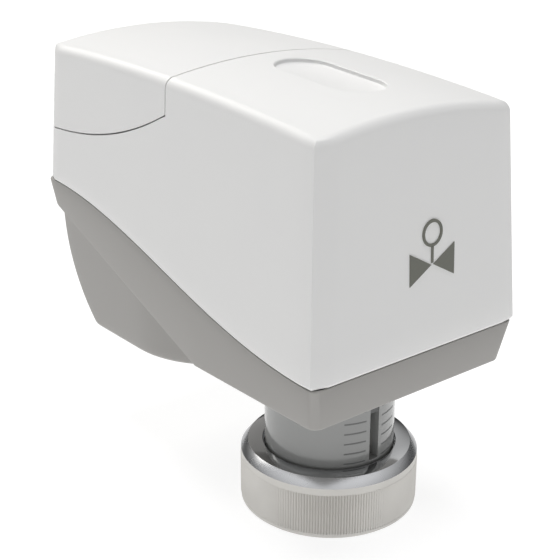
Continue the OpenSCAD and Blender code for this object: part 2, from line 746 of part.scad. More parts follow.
module pillar_screws() color([0.75, 0.75, 0.76])
    for (p = pillars) translate([p[0], p[1], upper_top]) pan_screw(plate_t + 5, r = screw_r - 0.3, hr = 2.4);

// ---- motor ----
can_wall = 0.8;
shaft_r = 0.75;
shaft_bush_r = 2.4;
rotor_r = motor_r * 0.48;
core_r = rotor_r + 0.5;
core_in = 1.4;

module motor_can() color([0.74, 0.75, 0.76]) translate([0, motor_y, motor_foot]) difference() {
    cylinder(r = motor_r, h = motor_h, $fn = round_fn);
    translate([0, 0, can_wall]) cylinder(r = motor_r - can_wall, h = motor_h - 2 * can_wall, $fn = round_fn);
    translate([0, 0, -1]) cylinder(r = shaft_bush_r, h = motor_h + 2, $fn = round_fn);
    for (p = motor_screws_at) pin(p - motor_at, small_screw_r, motor_h - 2, motor_h + 1);
}

coil_h = (motor_h - 6.2) / 2;
core_t = 0.8;
coil_z = [motor_foot + 2.2, motor_foot + 2.2 + coil_h + core_t];

module stator_coils() color([0.72, 0.40, 0.20])
    for (z = coil_z) translate([0, motor_y, z]) tube(motor_r - can_wall - 0.6, core_r + core_in, coil_h);

module stator_core() color([0.45, 0.46, 0.48]) translate([0, motor_y, 0]) {
    for (z = [coil_z[0] - core_t, coil_z[0] + coil_h, coil_z[1] + coil_h])
        translate([0, 0, z]) tube(motor_r - can_wall, core_r, core_t);
    translate([0, 0, coil_z[0] - core_t]) tube(core_r + core_in, core_r, 2 * coil_h + 3 * core_t);
}

module motor_rotor() color([0.25, 0.25, 0.27])
    translate([0, motor_y, coil_z[0]]) tube(rotor_r, shaft_r, 2 * coil_h + core_t);

module motor_shaft() color([0.80, 0.80, 0.82]) pin(motor_at, shaft_r, motor_foot + 0.3, gear_a_z + face_w + 0.5);

module motor_bushes() color([0.70, 0.55, 0.30]) {
    translate([0, motor_y, motor_foot]) tube(shaft_bush_r, shaft_r + axle_gap, 1.3);
    translate([0, motor_y, motor_top - 1.3]) tube(shaft_bush_r, shaft_r + axle_gap, 2.2);
}

module motor_pinion() color([0.78, 0.65, 0.35]) translate([0, motor_y, gear_a_z - 0.3]) difference() {
    spur(module_a, pinion_a_teeth, face_w + 0.6, turn_a);
    translate([0, 0, -1]) cylinder(r = shaft_r, h = 10, $fn = 48);
}

module motor_screws() color([0.75, 0.75, 0.76])
    for (p = motor_screws_at) translate([p[0], p[1], plate_top])
        pan_screw(plate_t + can_wall + 0.4, r = small_screw_r, hr = 1.8, hh = 1.1);

module motor_leads() color([0.15, 0.25, 0.55]) for (p = lead_points) pin(p, lead_r, motor_top, board_z);

// ---- electrics ----
module circuit_board() color([0.10, 0.35, 0.20]) difference() {
    translate([-board_half_w, board_front_y, board_z])
        cube([2 * board_half_w, board_rear_y - board_front_y, board_t]);
    for (p = board_fixings) pin(p, small_screw_r + fit_gap, board_z - 1, board_top + 1);
}

module board_posts() color([0.78, 0.65, 0.35]) for (p = board_fixings) difference() {
    pin(p, 2.2, upper_top, board_z);
    pin(p, small_screw_r, upper_top - 1, board_z + 1);
}

module board_screws() color([0.75, 0.75, 0.76])
    for (p = board_fixings) translate([p[0], p[1], board_top])
        pan_screw(board_t + 3.4, r = small_screw_r, hr = 1.9, hh = 1.2);

block_w = poles * pole_step;
block_d = 9;
block_h = 8.4;
block_y = board_rear_y - block_d - 0.6;
pole_x = [for (k = [0 : poles - 1]) (k - (poles - 1) / 2) * pole_step];

module terminal_block() color([0.16, 0.42, 0.30]) difference() {
    translate([-block_w / 2, block_y, board_top]) cube([block_w, block_d, block_h]);
    for (x = pole_x) {
        translate([x, block_y + block_d / 2 + 1, board_top + 2.6]) rotate([-90, 0, 0])
            cylinder(r = 1.5, h = block_d, $fn = 32);
        pin([x, block_y + block_d / 2], 1.8, board_top + 4.6, board_top + block_h + 1);
    }
}

module terminal_screws() color([0.75, 0.75, 0.76])
    for (x = pole_x) difference() {
        pin([x, block_y + block_d / 2], 1.8, board_top + 4.6, board_top + block_h - 1);
        translate([x - 1.4, block_y + block_d / 2 - 0.25, board_top + block_h - 1.7]) cube([2.8, 0.5, 2]);
    }

module capacitor() color([0.20, 0.22, 0.30]) {
    pin([7, board_front_y + 11], 4.2, board_top, board_top + 8);
}

module varistor() color([0.15, 0.30, 0.60])
    translate([-8, board_front_y + 10, board_top + 3.6]) rotate([90, 0, 0]) cylinder(r = 3.6, h = 3.2, $fn = 48);

grommet_y = wall_y_rear(grommet_z);
module cable_grommet() color([0.13, 0.13, 0.13])
    translate([0, grommet_y, grommet_z]) rotate([-90, 0, 0]) difference() {
        union() {
            translate([0, 0, -cover_wall - 2]) cylinder(r = grommet_hole_r, h = cover_wall + 2.6, $fn = 64);
            translate([0, 0, -cover_wall - 2]) cylinder(r = grommet_flange_r, h = 1.6, $fn = 64);
            translate([0, 0, 0.3]) cylinder(r = grommet_flange_r, h = 1.1, $fn = 64);
        }
        translate([0, 0, -10]) cylinder(r = cable_r, h = 20, $fn = 64);
    }

base_housing();
main_cover();
terminal_lid();
lid_screws();
cover_screws();
housing_seal();
guide_column();
column_screws();
nut_ring();
union_nut();
drive_spindle();
push_cap();
position_pointer();
drive_nut();
spindle_gear();
spindle_bush();
lower_race();
thrust_balls();
upper_race();
lower_plate();
upper_plate();
plate_pillars();
plate_screws();
pillar_screws();
gear_1();
gear_1_axle();
gear_2();
gear_2_axle();
motor_can();
stator_coils();
stator_core();
motor_rotor();
motor_shaft();
motor_pinion();
motor_bushes();
motor_screws();
circuit_board();
board_posts();
board_screws();
terminal_block();
terminal_screws();
capacitor();
varistor();
motor_leads();
cable_grommet();
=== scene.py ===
import math

import bmesh
import bpy
from mathutils import Matrix, Vector
from mathutils.kdtree import KDTree


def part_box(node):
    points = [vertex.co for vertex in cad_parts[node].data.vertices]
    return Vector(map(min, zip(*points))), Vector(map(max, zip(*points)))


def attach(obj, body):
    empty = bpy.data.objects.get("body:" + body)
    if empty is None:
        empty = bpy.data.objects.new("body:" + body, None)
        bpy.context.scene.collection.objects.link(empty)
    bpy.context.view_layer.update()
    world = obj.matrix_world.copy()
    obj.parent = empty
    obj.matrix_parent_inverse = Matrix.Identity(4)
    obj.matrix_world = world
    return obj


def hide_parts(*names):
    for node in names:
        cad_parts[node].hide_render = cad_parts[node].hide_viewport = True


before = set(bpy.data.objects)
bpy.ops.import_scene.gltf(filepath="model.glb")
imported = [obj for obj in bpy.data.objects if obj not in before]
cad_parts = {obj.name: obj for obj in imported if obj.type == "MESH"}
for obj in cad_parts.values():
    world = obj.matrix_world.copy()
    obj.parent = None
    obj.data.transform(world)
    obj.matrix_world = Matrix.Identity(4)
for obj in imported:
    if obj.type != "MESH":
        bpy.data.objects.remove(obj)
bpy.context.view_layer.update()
mm = 0.001

# the housing's shape, in millimetres, shared by cover, lid and base
housing = dict(
    width=52.0,            # at the cover's lower front edge
    front=24.7,            # stem axis to front face
    rear=67.0,             # stem axis to rear face, taken at the front edge's level
    roof=88.5,             # highest point of the roof
    draft=2.8,             # degrees
    crownAcross=122.0,     # radius of the roof from side to side
    crownAlong=573.0,      # radius of the roof from front to rear
    crownY=46.0,
    partFront=40.0,        # height of the parting line at the front
    partRear=57.4,         # and at the rear
    under=31.4,            # underside of the base
    climbY=12.0,           # where the underside starts to rise
    climb=0.385,
    skirtFront=2.2,        # how far the base tapers in, down to its lower edge
    skirtRear=1.4,
)
slope = math.tan(math.radians(housing["draft"]))
alongCount = 46
acrossCount = 26
cornerCount = 7


def partShare(y):
    return min(1.0, max(0.0, (y + housing["front"]) / (housing["front"] + housing["rear"])))


def partHeight(y):
    rise = housing["partRear"] - housing["partFront"]
    return housing["partFront"] + rise * (1 - math.cos(math.pi * partShare(y))) / 2


def underHeight(y):
    return housing["under"] + housing["climb"] * max(0.0, y - housing["climbY"])


def skirtInset(y):
    return housing["skirtFront"] + (housing["skirtRear"] - housing["skirtFront"]) * partShare(y)


def roofHeight(x, y):
    across = x * x / (2 * housing["crownAcross"])
    along = (y - housing["crownY"]) ** 2 / (2 * housing["crownAlong"])
    return housing["roof"] - across - along


# working tools
def clearSelection():
    if bpy.context.object and bpy.context.object.mode != "OBJECT":
        bpy.ops.object.mode_set(mode="OBJECT")
    bpy.ops.object.select_all(action="DESELECT")


def choose(piece):
    clearSelection()
    piece.select_set(True)
    bpy.context.view_layer.objects.active = piece


def editWhere(piece, test):
    # goes into edit mode with the vertices that pass the test selected
    choose(piece)
    bpy.ops.object.mode_set(mode="EDIT")
    bpy.ops.mesh.select_mode(type="VERT")
    bpy.ops.mesh.select_all(action="DESELECT")
    mesh = bmesh.from_edit_mesh(piece.data)
    for v in mesh.verts:
        v.select = test(v.co / mm)
    mesh.select_flush_mode()
    bmesh.update_edit_mesh(piece.data)


def tidyMesh(piece):
    # welds doubles and turns every face outwards
    choose(piece)
    bpy.ops.object.mode_set(mode="EDIT")
    bpy.ops.mesh.select_all(action="SELECT")
    bpy.ops.mesh.remove_doubles(threshold=0.002 * mm)
    bpy.ops.mesh.normals_make_consistent(inside=False)
    bpy.ops.object.mode_set(mode="OBJECT")


def skinRings(name, rings):
    # a circle is laid on the first ring, then extruded from ring to ring
    clearSelection()
    bpy.ops.mesh.primitive_circle_add(vertices=len(rings[0]), radius=1, fill_type="NOTHING")
    piece = bpy.context.active_object
    piece.name = piece.data.name = name
    for v, p in zip(piece.data.vertices, rings[0]):
        v.co = Vector(p) * mm
    bpy.ops.object.mode_set(mode="EDIT")
    bpy.ops.mesh.select_mode(type="VERT")
    bpy.ops.mesh.select_all(action="SELECT")
    for low, high in zip(rings, rings[1:]):
        finder = KDTree(len(low))
        for k, p in enumerate(low):
            finder.insert(Vector(p) * mm, k)
        finder.balance()
        bpy.ops.mesh.extrude_region_move()
        mesh = bmesh.from_edit_mesh(piece.data)
        for v in mesh.verts:
            if v.select:
                v.co = Vector(high[finder.find(v.co)[1]]) * mm
        bmesh.update_edit_mesh(piece.data)
    bpy.ops.object.mode_set(mode="OBJECT")
    return piece


def capWhere(piece, test):
    editWhere(piece, test)
    bpy.ops.mesh.edge_face_add()
    bpy.ops.object.mode_set(mode="OBJECT")


def sideTool(name, points, halfWidth):
    # a cutter whose outline is a side view, run right across the housing
    rings = [[(x, y, z) for y, z in points] for x in (-halfWidth, halfWidth)]
    piece = skinRings(name, rings)
    for x in (-halfWidth, halfWidth):
        capWhere(piece, lambda p, x=x: abs(p.x - x) < 0.01)
    tidyMesh(piece)
    return piece


def roundTool(name, x, y, z, radius, depth, axis="Z", sides=64):
    clearSelection()
    turn = {"X": (0, math.pi / 2, 0), "Y": (math.pi / 2, 0, 0), "Z": (0, 0, 0)}[axis]
    bpy.ops.mesh.primitive_cylinder_add(
        vertices=sides, radius=radius * mm, depth=depth * mm,
        location=(x * mm, y * mm, z * mm), rotation=turn)
    piece = bpy.context.active_object
    piece.name = name
    bpy.ops.object.transform_apply(location=True, rotation=True, scale=True)
    return piece


def boxTool(name, low, high):
    clearSelection()
    size = [(b - a) * mm for a, b in zip(low, high)]
    middle = [(a + b) / 2 * mm for a, b in zip(low, high)]
    bpy.ops.mesh.primitive_cube_add(size=1, location=middle, scale=size)
    piece = bpy.context.active_object
    piece.name = name
    bpy.ops.object.transform_apply(location=True, rotation=True, scale=True)
    return piece


def combine(piece, tool, operation, keepTool=False):
    choose(piece)
    cut = piece.modifiers.new("combine", "BOOLEAN")
    cut.object = tool
    cut.operation = operation
    cut.solver = "EXACT"
    bpy.ops.object.modifier_apply(modifier=cut.name)
    if not keepTool:
        bpy.data.objects.remove(tool)


def turnProfile(name, profile, steps, origin=(0, 0, 0), axis="Z"):
    # a closed profile of [radius, height] points spun once round its axis
    if axis == "Z":
        ring = [(r, 0, h) for r, h in profile]
    else:
        ring = [(r, h, 0) for r, h in profile]
    ring = [tuple(a + b for a, b in zip(p, origin)) for p in ring]
    piece = skinRings(name, [ring])
    bpy.ops.object.mode_set(mode="EDIT")
    bpy.ops.mesh.select_all(action="SELECT")
    bpy.ops.mesh.spin(
        steps=steps, angle=2 * math.pi, center=tuple(c * mm for c in origin),
        axis=(0, 0, 1) if axis == "Z" else (0, 1, 0))
    bpy.ops.object.mode_set(mode="OBJECT")
    tidyMesh(piece)
    return piece


def copyOf(piece, name):
    twin = piece.copy()
    twin.data = piece.data.copy()
    twin.name = twin.data.name = name
    bpy.context.scene.collection.objects.link(twin)
    return twin


def joinInto(piece, others):
    choose(piece)
    for o in others:
        o.select_set(True)
    bpy.ops.object.join()
    return piece


def finishPiece(piece, body, materials, nodes, smoothAngle=32):
    choose(piece)
    bpy.ops.object.transform_apply(location=True, rotation=True, scale=True)
    bpy.ops.object.shade_smooth_by_angle(angle=math.radians(smoothAngle))
    if materials:
        piece.data.materials.clear()
        for m in materials:
            piece.data.materials.append(m)
    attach(piece, body)
    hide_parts(*nodes)


# materials
def toLinear(hexColour):
    parts = [int(hexColour[k:k + 2], 16) / 255 for k in (1, 3, 5)]
    return tuple(p / 12.92 if p <= 0.04045 else ((p + 0.055) / 1.055) ** 2.4 for p in parts) + (1.0,)


def addNode(tree, kind, settings=None, values=None, links=None):
    node = tree.nodes.new(kind)
    for key, value in (settings or {}).items():
        setattr(node, key, value)
    for key, value in (values or {}).items():
        node.inputs[key].default_value = value
    for key, source in (links or {}).items():
        tree.links.new(source, node.inputs[key])
    return node


def startMaterial(name):
    material = bpy.data.materials.new(name)
    material.use_nodes = True
    tree = material.node_tree
    shader = tree.nodes["Principled BSDF"]
    spot = addNode(tree, "ShaderNodeTexCoord")
    return material, tree, shader, spot.outputs["Object"]


def perMm(size):
    # noise scale that gives grains of that size in millimetres
    return 1 / (size * mm)


def mouldedPlastic(name, colour, shade, roughness, grain, depth, specular=0.5, coat=0.0):
    # injection moulding: an even colour that drifts a little, over a fine spark-eroded grain
    material, tree, shader, spot = startMaterial(name)
    drift = addNode(tree, "ShaderNodeTexNoise", values={"Scale": perMm(24), "Detail": 3.0},
                    links={"Vector": spot})
    colours = addNode(tree, "ShaderNodeMix", settings={"data_type": "RGBA"},
                      links={"Factor": drift.outputs["Fac"]})
    colours.inputs[6].default_value = toLinear(colour)
    colours.inputs[7].default_value = toLinear(shade)
    grains = addNode(tree, "ShaderNodeTexNoise", values={"Scale": perMm(grain), "Detail": 2.0},
                     links={"Vector": spot})
    spread = addNode(tree, "ShaderNodeMapRange", links={"Value": grains.outputs["Fac"]},
                     values={"To Min": roughness - 0.04, "To Max": roughness + 0.04})
    bump = addNode(tree, "ShaderNodeBump", values={"Strength": 0.35, "Distance": depth * mm},
                   links={"Height": grains.outputs["Fac"]})
    tree.links.new(colours.outputs[2], shader.inputs["Base Color"])
    tree.links.new(spread.outputs["Result"], shader.inputs["Roughness"])
    tree.links.new(bump.outputs["Normal"], shader.inputs["Normal"])
    shader.inputs["IOR"].default_value = 1.5
    shader.inputs["Specular IOR Level"].default_value = specular
    shader.inputs["Coat Weight"].default_value = coat
    return material


def machinedMetal(name, colour, shade, roughness, grain, depth, turned=0.0):
    # metal with fine tool marks: rings round the axis if turned, else a plain grain
    material, tree, shader, spot = startMaterial(name)
    blotch = addNode(tree, "ShaderNodeTexNoise", values={"Scale": perMm(9), "Detail": 3.0},
                     links={"Vector": spot})
    colours = addNode(tree, "ShaderNodeMix", settings={"data_type": "RGBA"},
                      links={"Factor": blotch.outputs["Fac"]})
    colours.inputs[6].default_value = toLinear(colour)
    colours.inputs[7].default_value = toLinear(shade)
    grains = addNode(tree, "ShaderNodeTexNoise", values={"Scale": perMm(grain), "Detail": 2.0},
                     links={"Vector": spot})
    height = grains.outputs["Fac"]
    if turned:
        rings = addNode(tree, "ShaderNodeTexWave", settings={"wave_type": "RINGS", "rings_direction": "Z"},
                        values={"Scale": perMm(turned) / 20, "Distortion": 0.4}, links={"Vector": spot})
        both = addNode(tree, "ShaderNodeMath", settings={"operation": "ADD"},
                       links={0: height, 1: rings.outputs["Fac"]})
        height = both.outputs["Value"]
    spread = addNode(tree, "ShaderNodeMapRange", links={"Value": blotch.outputs["Fac"]},
                     values={"To Min": roughness * 0.8, "To Max": roughness * 1.2})
    bump = addNode(tree, "ShaderNodeBump", values={"Strength": 0.3, "Distance": depth * mm},
                   links={"Height": height})
    tree.links.new(colours.outputs[2], shader.inputs["Base Color"])
    tree.links.new(spread.outputs["Result"], shader.inputs["Roughness"])
    tree.links.new(bump.outputs["Normal"], shader.inputs["Normal"])
    shader.inputs["Metallic"].default_value = 1.0
    return material


# white ABS/PC with a satin spark-eroded skin; the real 0.05 mm grain is drawn at 0.3 mm so that it shows
whiteHousing = mouldedPlastic("whiteSatinAbs", "#f2f2f1", "#efefef", 0.42, 0.3, 0.012, specular=0.4)
# grey ABS/PC of the base, the same skin
greyHousing = mouldedPlastic("greySatinAbs", "#adaba8", "#aaa8a5", 0.46, 0.3, 0.012, specular=0.35)
# polished light grey PBT: the guide column is smooth and shows soft reflections
columnPlastic = mouldedPlastic("polishedGreyPbt", "#a0a1a0", "#9c9d9c", 0.16, 0.6, 0.002,
                               specular=0.5, coat=0.3)
# dark ink in the scale's engraved lines, and the grey ink of the front mark
scaleInk = mouldedPlastic("darkGreyInk", "#7c7d7d", "#747575", 0.55, 0.2, 0.004, specular=0.25)
frontInk = mouldedPlastic("warmGreyInk", "#76776f", "#72736b", 0.5, 0.2, 0.003, specular=0.25)
blackPlastic = mouldedPlastic("darkGreyNylon", "#6c6d6d", "#646565", 0.5, 0.25, 0.01, specular=0.4)
rubber = mouldedPlastic("blackEpdmRubber", "#2a2a29", "#222221", 0.72, 0.4, 0.02, specular=0.3)
gearPlastic = mouldedPlastic("naturalAcetal", "#e9e5d8", "#e2decf", 0.35, 0.5, 0.005)
blockPlastic = mouldedPlastic("greenPolyamide", "#2f7a55", "#2a704d", 0.45, 0.3, 0.01)
bluePlastic = mouldedPlastic("blueEpoxyCoat", "#2a56a0", "#244c90", 0.3, 0.8, 0.02, coat=0.4)
boardLaminate = mouldedPlastic("greenSolderMask", "#1d5b37", "#174d2e", 0.3, 1.6, 0.015, coat=0.3)
magnet = mouldedPlastic("sinteredFerrite", "#3a3a3d", "#303033", 0.6, 0.3, 0.02)
# satin nickel plate on brass for the knurled rim, and bright turned nickel for the rings
satinNickel = machinedMetal("satinNickelPlate", "#d0ceca", "#cac8c4", 0.5, 0.25, 0.004)
brightNickel = machinedMetal("brightTurnedNickel", "#b4b5b6", "#acadae", 0.09, 0.6, 0.0008, turned=0.35)
# the chamfer is coarser turned, so what it mirrors is blurred
turnedNickel = machinedMetal("fineTurnedNickel", "#aaabad", "#a2a3a5", 0.27, 0.5, 0.0015, turned=0.35)
steel = machinedMetal("groundSteel", "#b9bbbe", "#adafb2", 0.24, 0.3, 0.003)
zincSteel = machinedMetal("brightZincPlate", "#c6c8ca", "#b7babd", 0.3, 0.4, 0.004)
brass = machinedMetal("turnedBrass", "#c9a764", "#bd9a57", 0.25, 0.3, 0.003, turned=0.4)
copperWire = machinedMetal("enamelledCopperWire", "#b5693a", "#a35a2e", 0.3, 0.35, 0.03)
print("materials made")


# cover and lid
cover = dict(
    wall=2.0,
    cornerLow=2.0,         # radius of the upright corners at their foot
    roofEdge=2.2,
    leastRadius=0.4,       # smallest rounding on the inside
    lift=0.2,              # gap to the base at the parting line
    lipHeight=0.8,         # small chamfer on the lower edge
    lipInset=0.42,
    lidY=20.4,             # front edge of the lid
    lidFront=79.2,         # height of the lid's lower corner there
    lidRear=69.2,          # and of its rear edge
    lidPower=2.4,          # how sharply the edge curves up
    lidGap=0.3,
    recessY=1.85,
    recessLength=25.1,
    recessWidth=11.6,
    recessDepth=0.9,
    screwHole=1.65,
    screwSeat=2.75,
    tongueGap=0.3,         # the tongue stands behind the lid's edge
    tongueThick=1.2,
    tongueHeight=1.6,
    tongueRoot=2.4,
    postWidth=7.0,         # posts behind the rear wall take the lid's screws
    postThick=3.6,
    postGap=0.5,
    postFoot=5.0,
    postDrop=6.0,          # below the lid's rear edge
    postHole=1.6,          # 0.1 mm clear of the thread
)


def ringSlots(across, along, corner):
    # where each point of a ring stands: place on the inner rectangle, and outward angle
    slots = []
    for u, v, start in ((0, -1, -90), (1, 0, 0), (0, 1, 90), (-1, 0, 180)):
        count = across if u == 0 else along
        for k in range(count + 1):
            t = -1 + 2 * k / count
            place = {-90: (t, -1), 0: (1, t), 90: (-t, 1), 180: (-1, -t)}[start]
            slots.append((place[0], place[1], math.radians(start)))
        end = {-90: (1, -1), 0: (1, 1), 90: (-1, 1), 180: (-1, -1)}[start]
        for j in range(1, corner):
            slots.append((end[0], end[1], math.radians(start + 90 * j / corner)))
    return slots


def housingRing(slots, radius, inset, height):
    points = []
    length = housing["front"] + housing["rear"]
    for u, v, angle in slots:
        e = 0.0
        for _ in range(6):  # height and draft depend on each other, so they are settled in turns
            y = (-housing["front"] + e + radius + (v + 1) / 2 * (length - 2 * e - 2 * radius)
                 + radius * math.sin(angle))
            z = height(y)
            e = inset(y) + slope * (z - housing["partFront"])
        x = u * (housing["width"] / 2 - e - radius) + radius * math.cos(angle)
        points.append((x, y, z))
    return points


slots = ringSlots(acrossCount, alongCount, cornerCount)


def headOf(depth):
    # the level part of the roof inside its rounded edge: edge radius, half width, front and rear
    radius = max(cover["roofEdge"] - depth, cover["leastRadius"])
    inset = slope * (housing["roof"] - housing["partFront"]) + depth + radius
    return radius, housing["width"] / 2 - inset, -housing["front"] + inset, housing["rear"] - inset


def roofRing(slots, depth, angleUp):
    # a ring on the rounded edge round the roof
    radius, headX, headFront, headRear = headOf(depth)
    points = []
    for u, v, angle in slots:
        x, y = u * headX, headFront + (v + 1) / 2 * (headRear - headFront)
        reach = radius * math.cos(angleUp)
        z = roofHeight(x, y) - depth - radius * (1 - math.sin(angleUp))
        points.append((x + reach * math.cos(angle), y + reach * math.sin(angle), z))
    return points


def skinOf(depth, foot):
    # rings from just above the lower edge up to the roof, for a skin that lies depth inside the outer one
    corner = max(cover["cornerLow"] - depth, cover["leastRadius"])
    wallSteps, edgeSteps, first = 10, 10, math.radians(housing["draft"])
    low = housingRing(slots, corner, lambda y: depth, lambda y: partHeight(y) + foot)
    start = roofRing(slots, depth, first)
    rings = []
    for k in range(wallSteps):
        share = k / wallSteps
        rings.append([tuple(a * (1 - share) + b * share for a, b in zip(p, q)) for p, q in zip(low, start)])
    for k in range(edgeSteps + 1):
        rings.append(roofRing(slots, depth, first + (math.pi / 2 - first) * k / edgeSteps))
    return rings


def roofGrid(depth):
    headX, headFront, headRear = headOf(depth)[1:]
    clearSelection()
    bpy.ops.mesh.primitive_grid_add(x_subdivisions=acrossCount, y_subdivisions=alongCount, size=2)
    roof = bpy.context.active_object
    for v in roof.data.vertices:
        x = v.co.x * headX
        y = headFront + (v.co.y + 1) / 2 * (headRear - headFront)
        v.co = Vector((x, y, roofHeight(x, y) - depth)) * mm
    return roof


def makeShell():
    # down the inner skin, round the lower edge with its small chamfer, and up the outer skin
    low, wall = cover["lift"], cover["wall"]
    edge = []
    for lift, inset in ((low, wall - 0.02), (low, cover["lipInset"]), (cover["lipHeight"] - 0.05, 0.02)):
        corner = max(cover["cornerLow"] - inset, cover["leastRadius"])
        edge.append(housingRing(slots, corner, lambda y, d=inset: d, lambda y, d=lift: partHeight(y) + d))
    rings = skinOf(wall, low + 0.3)[::-1] + edge + skinOf(0.0, cover["lipHeight"])
    shell = skinRings("main_cover_shell", rings)
    joinInto(shell, [roofGrid(wall), roofGrid(0.0)])
    tidyMesh(shell)
    return shell


def closedSkin(name, inner, outer):
    # a closed skin between two depths, for the tongue and its cutter
    low = cover["lipHeight"]
    skin = skinRings(name, skinOf(inner, low)[::-1] + skinOf(outer, low))
    joinInto(skin, [roofGrid(inner), roofGrid(outer)])
    tidyMesh(skin)
    return skin


def lidEdge(y):
    t = max(0.0, (housing["rear"] - y) / (housing["rear"] - cover["lidY"]))
    return cover["lidRear"] + (cover["lidFront"] - cover["lidRear"]) * t ** cover["lidPower"]


def lidTool(gap):
    steps = 48
    far = 2 * housing["roof"]
    points = [(cover["lidY"] - gap, far), (cover["lidY"] - gap, cover["lidFront"] - gap)]
    for k in range(1, steps + 1):
        y = cover["lidY"] + (housing["rear"] - cover["lidY"]) * k / steps
        points.append((y, lidEdge(y) - gap))
    points += [(housing["rear"] + 5, cover["lidRear"] - gap), (housing["rear"] + 5, far)]
    return sideTool("lidTool", points, housing["width"])


def stadium(length, width, y, z, sides=24):
    points = []
    for end in (1, -1):
        for k in range(sides + 1):
            a = math.pi * k / sides + (0 if end > 0 else math.pi)
            points.append((width / 2 * math.cos(a), y + end * (length - width) / 2 + width / 2 * math.sin(a)))
    return [(px, py, z(px, py)) for px, py in points]


def recessTool():
    length, width, depth = cover["recessLength"], cover["recessWidth"], cover["recessDepth"]
    rings = []
    # floor, small fillet, wall, then a flare that leaves a chamfer on the roof
    steps = ((-0.45, depth), (-0.15, depth - 0.12), (0.0, depth - 0.4), (0.0, 0.18),
             (0.22, -0.02), (0.22, -8))
    for grow, drop in steps:
        rings.append(stadium(length + 2 * grow, width + 2 * grow, cover["recessY"],
                             lambda x, y, d=drop: roofHeight(x, y) - d))
    tool = skinRings("recessTool", rings)
    capWhere(tool, lambda p: p.z > housing["roof"] + 4)
    capWhere(tool, lambda p: abs(p.z - roofHeight(p.x, p.y) + depth) < 0.005)
    tidyMesh(tool)
    return tool


def makeTongue():
    behind = cover["wall"] + cover["tongueGap"]
    tongue = closedSkin("tongue", behind + cover["tongueThick"], cover["wall"] - 0.15)
    combine(tongue, lidTool(cover["tongueRoot"]), "INTERSECT")
    combine(tongue, lidTool(-cover["tongueHeight"]), "DIFFERENCE")
    relief = closedSkin("relief", behind, -0.5)
    combine(relief, lidTool(cover["lidGap"]), "INTERSECT")
    combine(tongue, relief, "DIFFERENCE")
    return tongue


def rearWall(z):
    return housing["rear"] - slope * (z - housing["partFront"])


shell = makeShell()
coverPiece = copyOf(shell, "coverBody")
lidPiece = shell
lidPiece.name = lidPiece.data.name = "terminalLid"
combine(coverPiece, lidTool(cover["lidGap"]), "DIFFERENCE")
combine(lidPiece, lidTool(0.0), "INTERSECT")
combine(coverPiece, makeTongue(), "UNION")
combine(coverPiece, recessTool(), "DIFFERENCE")

grommetLow, grommetHigh = (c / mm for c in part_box("cable_grommet"))
grommetZ = (grommetLow.z + grommetHigh.z) / 2
inletRadius = 4.0
combine(coverPiece, roundTool("inletTool", 0, grommetLow.y, grommetZ, inletRadius, 20, "Y"), "DIFFERENCE")

screwLow, screwHigh = (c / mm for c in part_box("lid_screws"))
lidScrewZ = (screwLow.z + screwHigh.z) / 2
lidScrewX = (screwHigh.x - screwLow.x) / 2 - 2.6
headSeat = screwHigh.y - 1.5
postY = rearWall(lidScrewZ) - cover["wall"] - cover["postGap"] - cover["postThick"]
postLow, postHigh = cover["lidRear"] - cover["postDrop"], lidScrewZ + cover["postWidth"] / 2
for side in (-1, 1):
    left, right = side * lidScrewX - cover["postWidth"] / 2, side * lidScrewX + cover["postWidth"] / 2
    footHigh = (right, rearWall(cover["lidRear"]) - 1, postLow + cover["postFoot"])
    combine(coverPiece, boxTool("foot", (left, postY + 0.5, postLow), footHigh), "UNION")
    postTop = (right, postY + cover["postThick"], postHigh)
    combine(coverPiece, boxTool("post", (left, postY, postLow), postTop), "UNION")
    for piece, name, y, size, depth in ((coverPiece, "postHole", postY + 2, "postHole", 8),
                                        (lidPiece, "screwTool", headSeat, "screwHole", 20),
                                        (lidPiece, "seatTool", headSeat + 5, "screwSeat", 10)):
        combine(piece, roundTool(name, side * lidScrewX, y, lidScrewZ, cover[size], depth, "Y"), "DIFFERENCE")
print("cover and lid made")

# front mark: the plain engineering sign for a motor valve, printed in grey
mark = dict(x=2.2, z=56.6, halfWidth=5.6, halfHeight=3.0, stem=3.4, dial=2.5, line=0.55, proud=0.03)


def frontWall(z):
    return -housing["front"] + slope * (z - housing["partFront"]) - mark["proud"]


def flatSign(points):
    # a flat outline laid on the front wall, given a little thickness
    rings = [[(mark["x"] + x, frontWall(mark["z"] + z) + back, mark["z"] + z) for x, z in points]
             for back in (0.0, 0.3)]
    piece = skinRings("sign", rings)
    tidyMesh(piece)
    capWhere(piece, lambda p: p.y < frontWall(p.z) + 0.1)
    capWhere(piece, lambda p: p.y > frontWall(p.z) + 0.1)
    tidyMesh(piece)
    return piece


def signRing(z, radius, line):
    outer = [(radius * math.cos(2 * math.pi * k / 48), z + radius * math.sin(2 * math.pi * k / 48))
             for k in range(48)]
    inner = [((radius - line) / radius * x, z + (radius - line) / radius * (h - z)) for x, h in outer]
    rings = []
    for points, back in ((outer, 0.3), (outer, 0.0), (inner, 0.0), (inner, 0.3)):
        rings.append([(mark["x"] + x, frontWall(mark["z"] + h) + back, mark["z"] + h) for x, h in points])
    rings.append(rings[0])
    piece = skinRings("sign", rings)
    tidyMesh(piece)
    return piece


